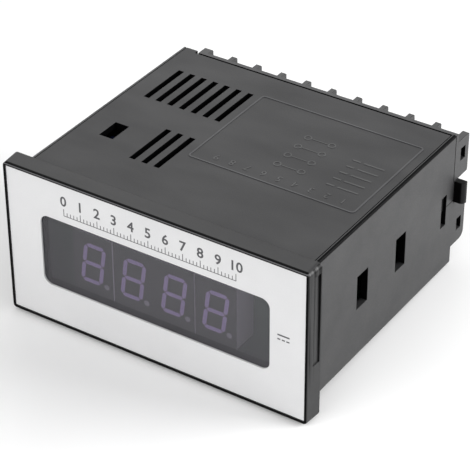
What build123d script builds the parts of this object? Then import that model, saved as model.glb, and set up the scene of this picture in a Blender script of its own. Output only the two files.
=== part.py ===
from build123d import *
import os
from math import atan, degrees, radians, tan

# Digital panel meter with a 96 x 48 mm front, for a cut-out in a control panel.
# X runs to the right, Y to the rear and Z up, in millimetres.
# The origin is the middle of the bezel's back face, which seats on the panel.

# Bezel, in front of the panel
bezel_width = 96.0
bezel_height = 48.0
bezel_depth = 5.6
bezel_draft = 0.4
bezel_corner = 1.5
bezel_edge = 0.3
rim_width = 0.9
flank_depth = 0.45
flank_y = (-3.3, -0.5)
flank_z = (-6.0, 21.3)

# Body, behind the panel
body_width = 90.0
body_height = 42.6
body_depth = 75.1
wall = 2.0
top_edge = 0.6
bottom_edge = 1.0
collar_depth = 3.0
seat_width = 1.0
clip_slots = ((22.8, 28.3), (43.0, 48.2))
clip_slot_z = (-5.5, 5.0)
latch_slot_y = (68.2, 71.0)
latch_slot_z = (-5.8, 4.1)
rib_depth = 1.3
rib_thickness = 1.0
seam = 0.25

# Top cover, dropped into the case between its side walls
vent_width = 1.8
vent_length = 17.4
vent_pitch = 3.93
rear_vents = 7
rear_vent_inset = 19.5
rear_vent_y = 54.2
front_vents = 3
front_vent_inset = 27.0
front_vent_y = 25.85
access_inset = (8.5, 13.0)
access_y = (22.3, 30.0)
cover_rear = 73.6
tongue_inset = (1.3, 5.0)
frame_gap = 2.41
frame_inset = 3.8
frame_y = (26.4, 64.0)
frame_line = 0.5
frame_raise = 0.12
frame_corner = 1.2

# Faceplate and window
plate_thickness = 0.5
plate_sink = 0.3
plate_gap = 0.1
window_width = 72.2
window_height = 22.2
window_corner = 2.6
window_thickness = 1.2
window_lap = 1.7
window_gap = 0.1

# Seven-segment digits
digit_height = 12.7
digit_width = 7.1
digit_lean = 8.0
bar_width = 1.2
bar_gap = 0.15
point_radius = 0.8
point_drop = 0.2
module_pitch = 13.0
module_height = 19.0
module_depth = 8.0
module_gap = 0.12
digits_x = -1.1
digits_z = -0.6
digits_behind_window = 0.3
mark_depth = 0.6
mark_fit = 0.03

# Printed circuit boards
board_thickness = 1.6
board_play = 0.3
board_slide = 0.05
display_board_room = 1.8
board_step = 1.3
board_rear_gap = 0.4
cutout_gap = 1.0
cutout_y = 40.0

# Screw terminals
fin_pitch = 8.35
row_margin = 7.0
fin_shift = -0.25
fin_thickness = 1.5
fin_reach = 5.3
tip_reach = 2.75
tip_height = 2.4
tip_slope = 2.5
tip_bevel = 0.5
ear_thickness = 1.9
ear_reach = 6.3
ear_top = 18.3
ear_front = 74.75
ear_corners = (0.5, 2.2)
ear_hole = (2.6, 3.9)
ear_hole_y = 79.15
floor_thickness = 1.0
upper_row_z = 13.35
lower_row_z = -9.7
upper_row_span = (6.2, 20.9)
lower_row_span = (-15.6, -0.9)
row_inset = 5.4
used_cells = 5
contact_width = 6.0
contact_half = 3.9
contact_thickness = 0.8
contact_fit = 0.05
tail_width = 2.8
tail_length = 10.0
clamp_size = (6.0, 6.4)
clamp_thickness = 1.0
clamp_lip = 0.3
clamp_lip_height = 0.8
clamp_bore_gap = 0.08
screw_radius = 1.5
screw_length = 5.8
head_radius = 2.8
head_height = 2.0
head_edge = 0.5
cross_width = 0.8
cross_length = 4.0
cross_depth = 1.0
socket_wall = 1.0
socket_bottom = 1.0
screw_pocket_gap = 0.2
screw_end_room = 0.5

# Latch that holds the terminal carrier in the case
carrier_plate = 2.0
carrier_gap = 0.15
latch_thickness = 1.4
latch_z = (-4.8, 3.9)
hook_reach = 1.55
hook_ramp = 1.0
hook_length = 1.9
hook_bottom = -1.1
tab_reach = 3.0
tab_thickness = 2.0
tab_gap = 0.3
tab_rounds = (1.5, 0.4)
tab_z = (-0.7, 6.0)

# Power parts
core_width = 32.0
core_stack = 14.0
core_height = 26.0
core_yoke = 5.4
coil_depth = 26.0
coil_fit = 0.1
coil_round = 1.5
transformer_inset = 20.0
transformer_y = 54.5
filter_capacitor_xy = (5.0, 56.0)
filter_capacitor_radius = 6.25
filter_capacitor_height = 20.0
output_capacitor_xy = (18.0, 57.0)
output_capacitor_radius = 4.0
output_capacitor_height = 12.0
bridge_xy = (4.0, 38.0)
bridge_size = (15.0, 3.6, 11.0)
regulator_xy = (-20.0, 28.0)

# Signal parts
converter_xy = (8.0, 30.0)
converter_size = (35.0, 7.2, 3.6)
converter_pins = 14
pin_pitch = 2.54
sense_xy = (27.0, 58.0)
sense_size = (14.0, 6.4, 6.0)
trimmer_size = (6.6, 7.0, 5.0)
rotor_radius = 1.9
rotor_height = 1.5
rotor_stand = 0.3
rotor_gap = 0.05
rotor_slot = 0.7
header_pins = 10
header_size = 2.4
header_pin = 0.64

# Places that follow from the sizes above
half_width = body_width / 2
top_z = body_height / 2
inner_x = half_width - wall
inner_z = top_z - wall
rim_x = half_width - seat_width
plate_front = -bezel_depth + plate_sink
plate_back = plate_front + plate_thickness
window_back = plate_back + window_thickness
plate_width = bezel_width - 2 * (bezel_draft + rim_width)
plate_height = bezel_height - 2 * (bezel_draft + rim_width)
front_wall_back = plate_back + wall
aperture_lap = window_lap - 0.6
cover_front = collar_depth + seam

rear_vent_x = rear_vent_inset - half_width
front_vent_x = front_vent_inset - half_width
access_x = (access_inset[0] - half_width, access_inset[1] - half_width)
cover_tongue = (tongue_inset[0] - half_width, tongue_inset[1] - half_width)
rear_vents_end = rear_vent_x + (rear_vents - 1) / 2 * vent_pitch + vent_width / 2
frame_x = (rear_vents_end + frame_gap, half_width - frame_inset)
transformer_x = transformer_inset - half_width
cutout_x = transformer_x + core_width / 2 + cutout_gap

module_front = window_back + digits_behind_window
module_back = module_front + module_depth
display_board_back = module_back + board_thickness
flat_board_front = display_board_back + board_step

fin_count = 1 + int((body_width - 2 * row_margin) // fin_pitch)
row_left_x = row_inset - half_width
upper_cells = range(fin_count - 1 - used_cells, fin_count - 1)
lower_cells = range(used_cells)

floor_y = body_depth + floor_thickness
fin_rear = floor_y + fin_reach
ear_rear = floor_y + ear_reach
contact_back = floor_y + contact_thickness
clamp_front = contact_back + clamp_lip
clamp_back = clamp_front + clamp_thickness
head_back = clamp_back + head_height
screw_end = clamp_back - screw_length
socket_bar_front = screw_end - screw_end_room - socket_bottom
flat_board_rear = socket_bar_front - board_rear_gap
flat_board_half = inner_x - board_play
tail_front = floor_y - tail_length

signal_board_bottom = upper_row_z - contact_half + contact_thickness
signal_board_top = signal_board_bottom + board_thickness
power_board_top = lower_row_z - contact_half
power_board_bottom = power_board_top - board_thickness

trimmer_x = sum(access_x) / 2
trimmer_y = sum(access_y) / 2
trimmer_top = signal_board_top + trimmer_size[2]


def across(y):
    """Plane across the meter at depth y, with X to the right and Z up; its normal looks forward."""
    return Plane.XZ.offset(-y)


def along(x):
    """Plane along the meter at x, with Y and Z as its directions; its normal looks to the right."""
    return Plane.YZ.offset(x)


def block(x, y, z, mode=Mode.ADD):
    """Rectangular block in the current part; x, y and z are each a low and a high value."""
    with Locations(((x[0] + x[1]) / 2, (y[0] + y[1]) / 2, (z[0] + z[1]) / 2)):
        Box(x[1] - x[0], y[1] - y[0], z[1] - z[0], mode=mode)


def mirrored(low, high, side):
    """The span from low to high on the right side, or its mirror image where side is -1."""
    return (low, high) if side > 0 else (-high, -low)


def cell_x(cell):
    """Middle of a terminal cell, counted from the left."""
    return (cell - (fin_count - 2) / 2) * fin_pitch + fin_shift


def fin_x(fin):
    """Middle of a barrier fin, counted from the left."""
    return (fin - (fin_count - 1) / 2) * fin_pitch + fin_shift


# Case: one moulding with the bezel, a collar behind it, two sides and a bottom.
# Its top is open for the cover and its rear for the terminal carrier.
with BuildPart() as case:
    with BuildSketch(across(0)):
        RectangleRounded(bezel_width, bezel_height, bezel_corner)
    extrude(amount=bezel_depth, taper=degrees(atan(bezel_draft / bezel_depth)))
    fillet(case.faces().sort_by(Axis.Y)[0].edges(), bezel_edge)
    with BuildSketch(across(0)):
        Rectangle(body_width, body_height)
    extrude(amount=-body_depth)
    long_edges = case.edges().filter_by(Axis.Y).filter_by_position(Axis.Y, 1, body_depth)
    fillet(long_edges.group_by(Axis.Z)[-1], top_edge)
    fillet(long_edges.group_by(Axis.Z)[0], bottom_edge)

    # Recess for the faceplate, pocket for the window and the opening behind it
    with BuildSketch(across(-bezel_depth)):
        Rectangle(plate_width + 2 * plate_gap, plate_height + 2 * plate_gap)
    extrude(amount=-(plate_sink + plate_thickness), mode=Mode.SUBTRACT)
    with BuildSketch(across(plate_back)):
        RectangleRounded(
            window_width + 2 * (window_lap + window_gap),
            window_height + 2 * (window_lap + window_gap),
            window_corner,
        )
    extrude(amount=-window_thickness, mode=Mode.SUBTRACT)
    with BuildSketch(across(window_back)):
        RectangleRounded(window_width + 2 * aperture_lap, window_height + 2 * aperture_lap, window_corner)
    extrude(amount=-(front_wall_back - window_back), mode=Mode.SUBTRACT)

    # Hollow, and the open top with a step on each side wall for the cover
    block((-inner_x, inner_x), (front_wall_back, body_depth), (-inner_z, inner_z), Mode.SUBTRACT)
    block((-rim_x, rim_x), (collar_depth, body_depth), (inner_z, top_z), Mode.SUBTRACT)

    for side in (1, -1):
        # Shallow hollow in the bezel's flank
        flank = mirrored(bezel_width / 2 - flank_depth, bezel_width / 2, side)
        block(flank, flank_y, flank_z, Mode.SUBTRACT)

        # Ribs that hold the edges of the boards
        rib_x = mirrored(inner_x - rib_depth, inner_x, side)
        display_board_faces = (module_back - board_slide, display_board_back + board_slide)
        for low in (display_board_faces[0] - rib_thickness, display_board_faces[1]):
            block(rib_x, (low, low + rib_thickness), (-inner_z, inner_z))
        for bottom, top in ((power_board_bottom, power_board_top), (signal_board_bottom, signal_board_top)):
            for low in (bottom - board_slide - rib_thickness, top + board_slide):
                rib_y = (flat_board_front + board_step, latch_slot_y[0] - board_step)
                block(rib_x, rib_y, (low, low + rib_thickness))

        # Slots for the two mounting clips and for the carrier's latch hook
        wall_x = mirrored(inner_x - wall, half_width + wall, side)
        for slot_y in clip_slots:
            block(wall_x, slot_y, clip_slot_z, Mode.SUBTRACT)
        block(wall_x, latch_slot_y, latch_slot_z, Mode.SUBTRACT)

        # Lower ear, the side wall carried on past the terminals
        with BuildSketch(along(side * (half_width - ear_thickness / 2))):
            with Locations(((body_depth + ear_rear) / 2, sum(lower_row_span) / 2)):
                Rectangle(ear_rear - body_depth, lower_row_span[1] - lower_row_span[0])
            fillet(vertices().group_by(Axis.X)[-1].sort_by(Axis.Y)[0], ear_corners[1])
            with Locations((ear_hole_y, lower_row_z)):
                Rectangle(*ear_hole, mode=Mode.SUBTRACT)
        extrude(amount=ear_thickness / 2, both=True)

    # The right wall stops short where the carrier's ear closes it
    ear_room = (inner_x - wall, half_width)
    ear_room_y = (ear_front - seam, body_depth)
    block(ear_room, ear_room_y, (upper_row_span[0] - seam, top_z), Mode.SUBTRACT)
case.part.label = "case"

# Top cover: a flat lid on the steps of the side walls, with vents, an access hole
# over the trimmer and a raised outline.
with BuildPart() as top_cover:
    block((seam - rim_x, rim_x - seam), (cover_front, cover_rear), (inner_z, top_z))
    block(cover_tongue, (cover_rear, body_depth), (inner_z, top_z))
    cover_middle_z = (inner_z + top_z) / 2
    for count, middle_x, middle_y in (
        (rear_vents, rear_vent_x, rear_vent_y),
        (front_vents, front_vent_x, front_vent_y),
    ):
        with Locations((middle_x, middle_y, cover_middle_z)):
            with GridLocations(vent_pitch, 0, count, 1):
                Box(vent_width, vent_length, wall, mode=Mode.SUBTRACT)
    block(access_x, access_y, (inner_z, top_z), Mode.SUBTRACT)
    with BuildSketch(Plane.XY.offset(top_z)):
        with Locations((sum(frame_x) / 2, sum(frame_y) / 2)):
            frame_size = (frame_x[1] - frame_x[0], frame_y[1] - frame_y[0])
            RectangleRounded(*frame_size, frame_corner)
            inner_size = (frame_size[0] - 2 * frame_line, frame_size[1] - 2 * frame_line)
            RectangleRounded(*inner_size, frame_corner - frame_line, mode=Mode.SUBTRACT)
    extrude(amount=frame_raise)
top_cover.part.label = "top_cover"

# Faceplate: a thin printed plate glued in the bezel's recess
with BuildPart() as faceplate:
    with BuildSketch(across(plate_front)):
        Rectangle(plate_width, plate_height)
        RectangleRounded(window_width, window_height, window_corner, mode=Mode.SUBTRACT)
    extrude(amount=-plate_thickness)
faceplate.part.label = "faceplate"

# Window: smoked acrylic in its pocket behind the faceplate
with BuildPart() as window:
    with BuildSketch(across(plate_back)):
        RectangleRounded(
            window_width + 2 * window_lap,
            window_height + 2 * window_lap,
            window_corner,
        )
    extrude(amount=-window_thickness)
window.part.label = "window"


def lean(x, z):
    """A point of a digit, pushed over by the lean of the figures."""
    return (x + z * tan(radians(digit_lean)), z)


def bar(x, z, half_length, half_width_of_bar, upright):
    """One pointed bar of a digit, as a polygon in the current sketch."""
    outline = (
        (-half_length, 0),
        (half_width_of_bar - half_length, half_width_of_bar),
        (half_length - half_width_of_bar, half_width_of_bar),
        (half_length, 0),
        (half_length - half_width_of_bar, -half_width_of_bar),
        (half_width_of_bar - half_length, -half_width_of_bar),
    )
    if upright:
        Polygon(*[lean(x + v, z - u) for u, v in outline], align=None)
    else:
        Polygon(*[lean(x + u, z + v) for u, v in outline], align=None)


def digit_marks(x, grow):
    """Seven bars and the decimal point of a digit centred on x; grow is added all round."""
    half_w = (digit_width - bar_width) / 2
    half_h = (digit_height - bar_width) / 2
    thick = bar_width / 2 + grow
    with Locations((x, digits_z)):
        for z in (-half_h, 0, half_h):
            bar(0, z, half_w - bar_gap + grow, thick, upright=False)
        for z in (-half_h / 2, half_h / 2):
            bar(-half_w, z, half_h / 2 - bar_gap + grow, thick, upright=True)
            bar(half_w, z, half_h / 2 - bar_gap + grow, thick, upright=True)
        with Locations((half_w + bar_width, -half_h - point_drop)):
            Circle(point_radius + grow)


# Digit modules: a single, a pair and a single, side by side on the display board.
# Each is a potted block with its bars and points cast flush in the face.
def digit_x(index):
    """Middle of a digit, counted from the left."""
    return digits_x + (index - 1.5) * module_pitch


digit_modules = []
digit_fills = []
for name, first, count in (("left", 0, 1), ("middle", 1, 2), ("right", 3, 1)):
    middle = (digit_x(first) + digit_x(first + count - 1)) / 2
    half = (count * module_pitch - module_gap) / 2
    with BuildPart() as module:
        module_z = (digits_z - module_height / 2, digits_z + module_height / 2)
        block((middle - half, middle + half), (module_front, module_back), module_z)
        with BuildSketch(across(module_front)) as recesses:
            for index in range(first, first + count):
                digit_marks(digit_x(index), mark_fit)
        extrude(recesses.sketch, amount=-mark_depth, mode=Mode.SUBTRACT)
    module.part.label = f"digit_module_{name}"
    digit_modules.append(module.part)

    with BuildPart() as fills:
        with BuildSketch(across(module_front)) as marks:
            for index in range(first, first + count):
                digit_marks(digit_x(index), 0)
        extrude(marks.sketch, amount=-mark_depth)
    fills.part.label = f"digit_segments_{name}"
    digit_fills.append(fills.part)

# Boards: the display board stands behind the digits; the power board and the
# signal board lie in the ribs of the side walls, below and above.
upper_pin_z = signal_board_top + header_size / 2
lower_pin_z = power_board_top + header_size / 2

with BuildPart() as display_board:
    half_board = inner_z - display_board_room
    board_y = (module_back, display_board_back)
    block((-flat_board_half, flat_board_half), board_y, (-half_board, half_board))
    for pin_z in (upper_pin_z, lower_pin_z):
        with BuildSketch(across(module_back)) as pin_holes:
            with Locations((0, pin_z)):
                with GridLocations(pin_pitch, 0, header_pins, 1):
                    Rectangle(header_pin + 4 * mark_fit, header_pin + 4 * mark_fit)
        extrude(pin_holes.sketch, amount=-board_thickness, mode=Mode.SUBTRACT)
display_board.part.label = "display_board"

with BuildPart() as power_board:
    block(
        (-flat_board_half, flat_board_half),
        (flat_board_front, flat_board_rear),
        (power_board_bottom, power_board_top),
    )
power_board.part.label = "power_board"

with BuildPart() as signal_board:
    signal_board_z = (signal_board_bottom, signal_board_top)
    block((-flat_board_half, flat_board_half), (flat_board_front, flat_board_rear), signal_board_z)
    block((-flat_board_half, cutout_x), (cutout_y, flat_board_rear), signal_board_z, Mode.SUBTRACT)
signal_board.part.label = "signal_board"


def pin_header(label, board_top):
    """Angled header: a plastic strip on a flat board, with pins through the display board."""
    with BuildPart() as header:
        half_strip = header_pins * pin_pitch / 2
        strip_y = (flat_board_front, flat_board_front + header_size)
        block((-half_strip, half_strip), strip_y, (board_top, board_top + header_size))
        with BuildSketch(across(flat_board_front)) as pins:
            with Locations((0, board_top + header_size / 2)):
                with GridLocations(pin_pitch, 0, header_pins, 1):
                    Rectangle(header_pin, header_pin)
        extrude(pins.sketch, amount=flat_board_front - module_back + header_pin)
    header.part.label = label
    return header.part


upper_header = pin_header("upper_header", signal_board_top)
lower_header = pin_header("lower_header", power_board_top)

# Transformer: a laminated core with two windows, and a wound bobbin on its middle leg
core_middle_z = power_board_top + core_height / 2
leg_width = 2 * core_yoke
window_span = (core_width - 2 * core_yoke - leg_width) / 2
window_rise = core_height - 2 * core_yoke

with BuildPart() as transformer_core:
    with BuildSketch(across(transformer_y)):
        with Locations((transformer_x, core_middle_z)):
            Rectangle(core_width, core_height)
            with GridLocations(leg_width + window_span, 0, 2, 1):
                Rectangle(window_span, window_rise, mode=Mode.SUBTRACT)
    extrude(amount=core_stack / 2, both=True)
transformer_core.part.label = "transformer_core"

with BuildPart() as transformer_coil:
    with BuildSketch(Plane.XY.offset(core_middle_z)) as turns:
        with Locations((transformer_x, transformer_y)):
            RectangleRounded(leg_width + 2 * (window_span - coil_fit), coil_depth, coil_round)
            Rectangle(leg_width + 2 * coil_fit, core_stack + 2 * coil_fit, mode=Mode.SUBTRACT)
    extrude(amount=window_rise / 2 - coil_fit, both=True)
transformer_coil.part.label = "transformer_coil"


def capacitor(label, place, radius, height):
    """Upright electrolytic can with a rounded-off rim."""
    with BuildPart() as can:
        with BuildSketch(Plane.XZ):
            with BuildLine():
                Polyline(
                    (0, 0),
                    (radius, 0),
                    (radius, 0.97 * height),
                    (0.93 * radius, height),
                    (0, height),
                    close=True,
                )
            make_face()
        revolve(axis=Axis.Z)
    placed = Pos(place[0], place[1], power_board_top) * can.part
    placed.label = label
    return placed


filter_capacitor = capacitor(
    "filter_capacitor", filter_capacitor_xy, filter_capacitor_radius, filter_capacitor_height
)
output_capacitor = capacitor(
    "output_capacitor", output_capacitor_xy, output_capacitor_radius, output_capacitor_height
)

# Bridge rectifier: a flat moulded block on four legs, with one corner cut to mark a pole
with BuildPart() as bridge_rectifier:
    leg_rise = 2.0
    with BuildSketch(across(bridge_xy[1])):
        with Locations((bridge_xy[0], power_board_top + leg_rise + bridge_size[2] / 2)):
            Rectangle(bridge_size[0], bridge_size[2])
        chamfer(vertices().group_by(Axis.Y)[-1].sort_by(Axis.X)[-1], leg_rise)
    extrude(amount=bridge_size[1] / 2, both=True)
    with Locations((bridge_xy[0], bridge_xy[1], power_board_top + leg_rise / 2)):
        with GridLocations(1.5 * pin_pitch, 0, 4, 1):
            Box(1.2, 0.8, leg_rise)
bridge_rectifier.part.label = "bridge_rectifier"

# Voltage regulator: moulded body and metal tab, upright on three legs
regulator_body = (10.0, 4.5, 9.0)
regulator_tab = (10.0, 1.3, 15.6)
regulator_legs = 3.0
with BuildPart() as regulator:
    body_bottom = power_board_top + regulator_legs
    block(
        (regulator_xy[0] - regulator_body[0] / 2, regulator_xy[0] + regulator_body[0] / 2),
        (regulator_xy[1] - regulator_body[1], regulator_xy[1]),
        (body_bottom, body_bottom + regulator_body[2]),
    )
    with BuildSketch(across(regulator_xy[1])) as tab_outline:
        with Locations((regulator_xy[0], body_bottom + regulator_tab[2] / 2)):
            Rectangle(regulator_tab[0], regulator_tab[2])
        with Locations((regulator_xy[0], body_bottom + regulator_tab[2] - 3.0)):
            Circle(1.8, mode=Mode.SUBTRACT)
    extrude(tab_outline.sketch, amount=regulator_tab[1])
    with Locations((regulator_xy[0], regulator_xy[1] - 2.2, power_board_top + regulator_legs / 2)):
        with GridLocations(pin_pitch, 0, 3, 1):
            Box(0.9, 0.6, regulator_legs)
regulator.part.label = "regulator"

# Converter chip: the measuring circuit, in a long moulded package with two rows of legs
with BuildPart() as converter_chip:
    body_half = converter_size[1] / 2
    package_bottom = signal_board_top + 0.5
    package_z = (package_bottom, package_bottom + converter_size[2])
    block(
        (converter_xy[0] - converter_size[0] / 2, converter_xy[0] + converter_size[0] / 2),
        (converter_xy[1] - body_half, converter_xy[1] + body_half),
        package_z,
    )
    with BuildSketch(along(converter_xy[0] - converter_size[0] / 2)) as notch:
        with Locations((converter_xy[1], package_z[1])):
            Circle(1.0)
    extrude(notch.sketch, amount=1.5, mode=Mode.SUBTRACT)
    leg_top = (package_z[0] + package_z[1]) / 2
    for side in (1, -1):
        with Locations((converter_xy[0], converter_xy[1] + side * (body_half + 0.3), 0)):
            with GridLocations(0.95 * pin_pitch, 0, converter_pins, 1):
                with Locations((0, 0, (signal_board_top + leg_top) / 2)):
                    Box(0.9, 0.6, leg_top - signal_board_top)
converter_chip.part.label = "converter_chip"

# Sense resistor: a square ceramic trough that stands on the signal board
with BuildPart() as sense_resistor:
    with BuildSketch(Plane.XY.offset(signal_board_top)):
        with Locations(sense_xy):
            Rectangle(sense_size[0], sense_size[1])
    extrude(amount=sense_size[2])
    chamfer(sense_resistor.faces().sort_by(Axis.Z)[-1].edges(), 0.5)
sense_resistor.part.label = "sense_resistor"

# Trimmer under the access hole: a square body and a round rotor with a driver slot
with BuildPart() as trimmer_body:
    with BuildSketch(Plane.XY.offset(signal_board_top)):
        with Locations((trimmer_x, trimmer_y)):
            Rectangle(trimmer_size[0], trimmer_size[1])
    extrude(amount=trimmer_size[2])
    with BuildSketch(Plane.XY.offset(trimmer_top)) as rotor_well:
        with Locations((trimmer_x, trimmer_y)):
            Circle(rotor_radius + rotor_gap)
    extrude(rotor_well.sketch, amount=-(rotor_height - rotor_stand), mode=Mode.SUBTRACT)
trimmer_body.part.label = "trimmer_body"

with BuildPart() as trimmer_rotor:
    with BuildSketch(Plane.XY.offset(trimmer_top + rotor_stand)):
        with Locations((trimmer_x, trimmer_y)):
            Circle(rotor_radius)
    extrude(amount=-rotor_height)
    with Locations((trimmer_x, trimmer_y, trimmer_top + rotor_stand)):
        Box(rotor_slot, 2 * rotor_radius, 1.2, mode=Mode.SUBTRACT)
trimmer_rotor.part.label = "trimmer_rotor"


def fin_outline(span, turned):
    """Side view of a fin, stepped back at its tip where the wires enter."""
    outline = (
        (body_depth, span[0]),
        (fin_rear, span[0]),
        (fin_rear, span[1] - tip_height - tip_slope),
        (floor_y + tip_reach, span[1] - tip_height),
        (floor_y + tip_reach, span[1] - tip_bevel),
        (floor_y + tip_reach - tip_bevel, span[1]),
        (body_depth, span[1]),
    )
    if turned:
        outline = [(y, sum(span) - z) for y, z in outline]
    Polygon(*outline, align=None)


# Terminal carrier: one moulding that closes the rear of the case. It has two rows of
# cells between barrier fins, sockets for the screws and a latch arm on each side.
with BuildPart() as terminal_carrier:
    plate_x = inner_x - carrier_gap
    plate_y = (body_depth - carrier_plate, body_depth)
    block((-plate_x, plate_x), plate_y, (carrier_gap - inner_z, inner_z - carrier_gap))
    block((row_left_x, half_width), (ear_front, floor_y), upper_row_span)
    block((row_left_x, plate_x), (body_depth, floor_y), lower_row_span)

    for span, turned in ((upper_row_span, False), (lower_row_span, True)):
        for fin in range(fin_count):
            fin_right = fin_x(fin) + fin_thickness / 2
            fin_left = row_left_x if fin == 0 else fin_right - fin_thickness
            with BuildSketch(along((fin_left + fin_right) / 2)) as fin_sketch:
                fin_outline(span, turned)
            extrude(fin_sketch.sketch, amount=(fin_right - fin_left) / 2, both=True)

    # Ear that closes the right end of the upper row, flush with the case
    with BuildSketch(along(half_width)) as ear_sketch:
        with Locations(((ear_front + ear_rear) / 2, (upper_row_span[0] + ear_top) / 2)):
            Rectangle(ear_rear - ear_front, ear_top - upper_row_span[0])
        fillet(vertices().group_by(Axis.X)[-1], ear_corners[0])
        with Locations((ear_hole_y, upper_row_z)):
            Rectangle(*ear_hole, mode=Mode.SUBTRACT)
    extrude(ear_sketch.sketch, amount=-ear_thickness)

    # Sockets for the screws, in a bar along the inner face, and a slit for each contact's tail
    for row_z in (upper_row_z, lower_row_z):
        bar_rise = screw_radius + screw_pocket_gap + socket_wall
        bar_half = (fin_count - 2) / 2 * fin_pitch + bar_rise
        bar_y = (socket_bar_front, plate_y[0])
        block((fin_shift - bar_half, fin_shift + bar_half), bar_y, (row_z - bar_rise, row_z + bar_rise))
        with BuildSketch(across(floor_y)) as pockets:
            with Locations((fin_shift, row_z)):
                with GridLocations(fin_pitch, 0, fin_count - 1, 1):
                    Circle(screw_radius + screw_pocket_gap)
        pocket_depth = floor_y - socket_bar_front - socket_bottom
        extrude(pockets.sketch, amount=pocket_depth, mode=Mode.SUBTRACT)
        with BuildSketch(across(floor_y)) as slits:
            with Locations((fin_shift, row_z - contact_half + contact_thickness / 2)):
                with GridLocations(fin_pitch, 0, fin_count - 1, 1):
                    Rectangle(tail_width + 2 * contact_fit, contact_thickness + 2 * contact_fit)
        extrude(slits.sketch, amount=floor_y - plate_y[0], mode=Mode.SUBTRACT)

    # Latch arms: a hook in the case's slot, and a finger tab behind the wall to release it
    for side in (1, -1):
        arm_x = mirrored(plate_x - latch_thickness, plate_x, side)
        arm_front = latch_slot_y[0] + seam
        block(arm_x, (arm_front, body_depth), latch_z)
        with BuildSketch(Plane.XY.offset(hook_bottom)) as hook:
            Polygon(
                (side * plate_x, arm_front),
                (side * (plate_x + hook_reach), arm_front + hook_ramp),
                (side * (plate_x + hook_reach), arm_front + hook_length),
                (side * plate_x, arm_front + hook_length),
                align=None,
            )
        extrude(hook.sketch, amount=latch_z[1] - hook_bottom)
        tab_front = body_depth + tab_gap
        tab_x = mirrored(plate_x - latch_thickness, half_width + tab_reach, side)
        with BuildSketch(Plane.XY.offset(tab_z[0])) as tab:
            with Locations((sum(tab_x) / 2, tab_front + tab_thickness / 2)):
                Rectangle(tab_x[1] - tab_x[0], tab_thickness)
            outer_end = vertices().group_by(Axis.X)[-1 if side > 0 else 0].sort_by(Axis.Y)
            fillet(outer_end[0], tab_rounds[0])
            outer_end = vertices().group_by(Axis.Y)[-1].sort_by(Axis.X)[-1 if side > 0 else 0]
            fillet(outer_end, tab_rounds[1])
            with Locations((sum(arm_x) / 2, body_depth + tab_gap / 2)):
                Rectangle(latch_thickness, tab_gap)
        extrude(tab.sketch, amount=tab_z[1] - tab_z[0])
terminal_carrier.part.label = "terminal_carrier"


def place_of(row_z, cell):
    """Where a terminal's screw axis stands, as X and Z."""
    return (cell_x(cell), row_z)


terminals = [("upper", upper_row_z, cell) for cell in upper_cells]
terminals += [("lower", lower_row_z, cell) for cell in lower_cells]

# Contacts: an angled brass strip in each used cell, tapped for the screw, with a
# tail that runs forward to its board.
with BuildPart() as terminal_contacts:
    for row, row_z, cell in terminals:
        middle_x = cell_x(cell)
        foot_z = row_z - contact_half
        block(
            (middle_x - contact_width / 2, middle_x + contact_width / 2),
            (floor_y, contact_back),
            (foot_z, row_z + contact_half),
        )
        tail_x = (middle_x - tail_width / 2, middle_x + tail_width / 2)
        block(tail_x, (tail_front, floor_y), (foot_z, foot_z + contact_thickness))
        with BuildSketch(across(contact_back)) as thread:
            with Locations(place_of(row_z, cell)):
                Circle(screw_radius + contact_fit)
        extrude(thread.sketch, amount=contact_thickness, mode=Mode.SUBTRACT)
terminal_contacts.part.label = "terminal_contacts"


def clamp_washer(label, place):
    """Square washer under a screw head, with a lip at the top and bottom to grip the wire."""
    with BuildPart() as washer:
        with BuildSketch(across(clamp_back)) as outline:
            with Locations(place):
                Rectangle(*clamp_size)
        extrude(outline.sketch, amount=clamp_thickness)
        with BuildSketch(across(clamp_front)) as lips:
            with Locations(place):
                with GridLocations(0, clamp_size[1] - clamp_lip_height, 1, 2):
                    Rectangle(clamp_size[0], clamp_lip_height)
        extrude(lips.sketch, amount=clamp_lip)
        with BuildSketch(across(clamp_back)) as bore:
            with Locations(place):
                Circle(screw_radius + clamp_bore_gap)
        extrude(bore.sketch, amount=clamp_thickness, mode=Mode.SUBTRACT)
    washer.part.label = label
    return washer.part


def terminal_screw(label, place):
    """Round-headed screw with a cross in its head, turned about Y."""
    with BuildPart() as screw:
        with BuildSketch(across(screw_end)) as shank:
            with Locations(place):
                Circle(screw_radius)
        extrude(shank.sketch, amount=-screw_length)
        with BuildSketch(across(clamp_back)) as head:
            with Locations(place):
                Circle(head_radius)
        extrude(head.sketch, amount=-head_height)
        chamfer(screw.edges().filter_by(GeomType.CIRCLE).sort_by(Axis.Y)[-1], head_edge)
        with BuildSketch(across(head_back)) as cross:
            with Locations(place):
                Rectangle(cross_length, cross_width)
                Rectangle(cross_width, cross_length)
        extrude(cross.sketch, amount=cross_depth, mode=Mode.SUBTRACT)
    screw.part.label = label
    return screw.part


clamps = []
screws = []
for row, row_z, cell in terminals:
    clamps.append(clamp_washer(f"clamp_{row}_{cell + 1}", place_of(row_z, cell)))
    screws.append(terminal_screw(f"screw_{row}_{cell + 1}", place_of(row_z, cell)))

# One file for each piece
pieces = [
    case.part,
    top_cover.part,
    faceplate.part,
    window.part,
    *digit_modules,
    *digit_fills,
    display_board.part,
    power_board.part,
    signal_board.part,
    upper_header,
    lower_header,
    transformer_core.part,
    transformer_coil.part,
    filter_capacitor,
    output_capacitor,
    bridge_rectifier.part,
    regulator.part,
    converter_chip.part,
    sense_resistor.part,
    trimmer_body.part,
    trimmer_rotor.part,
    terminal_carrier.part,
    terminal_contacts.part,
    *clamps,
    *screws,
]
os.makedirs("parts", exist_ok=True)
for piece in pieces:
    export_step(piece, f"parts/{piece.label}.step")
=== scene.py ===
import math
import bmesh
import bpy
from mathutils import Matrix, Vector


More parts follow.
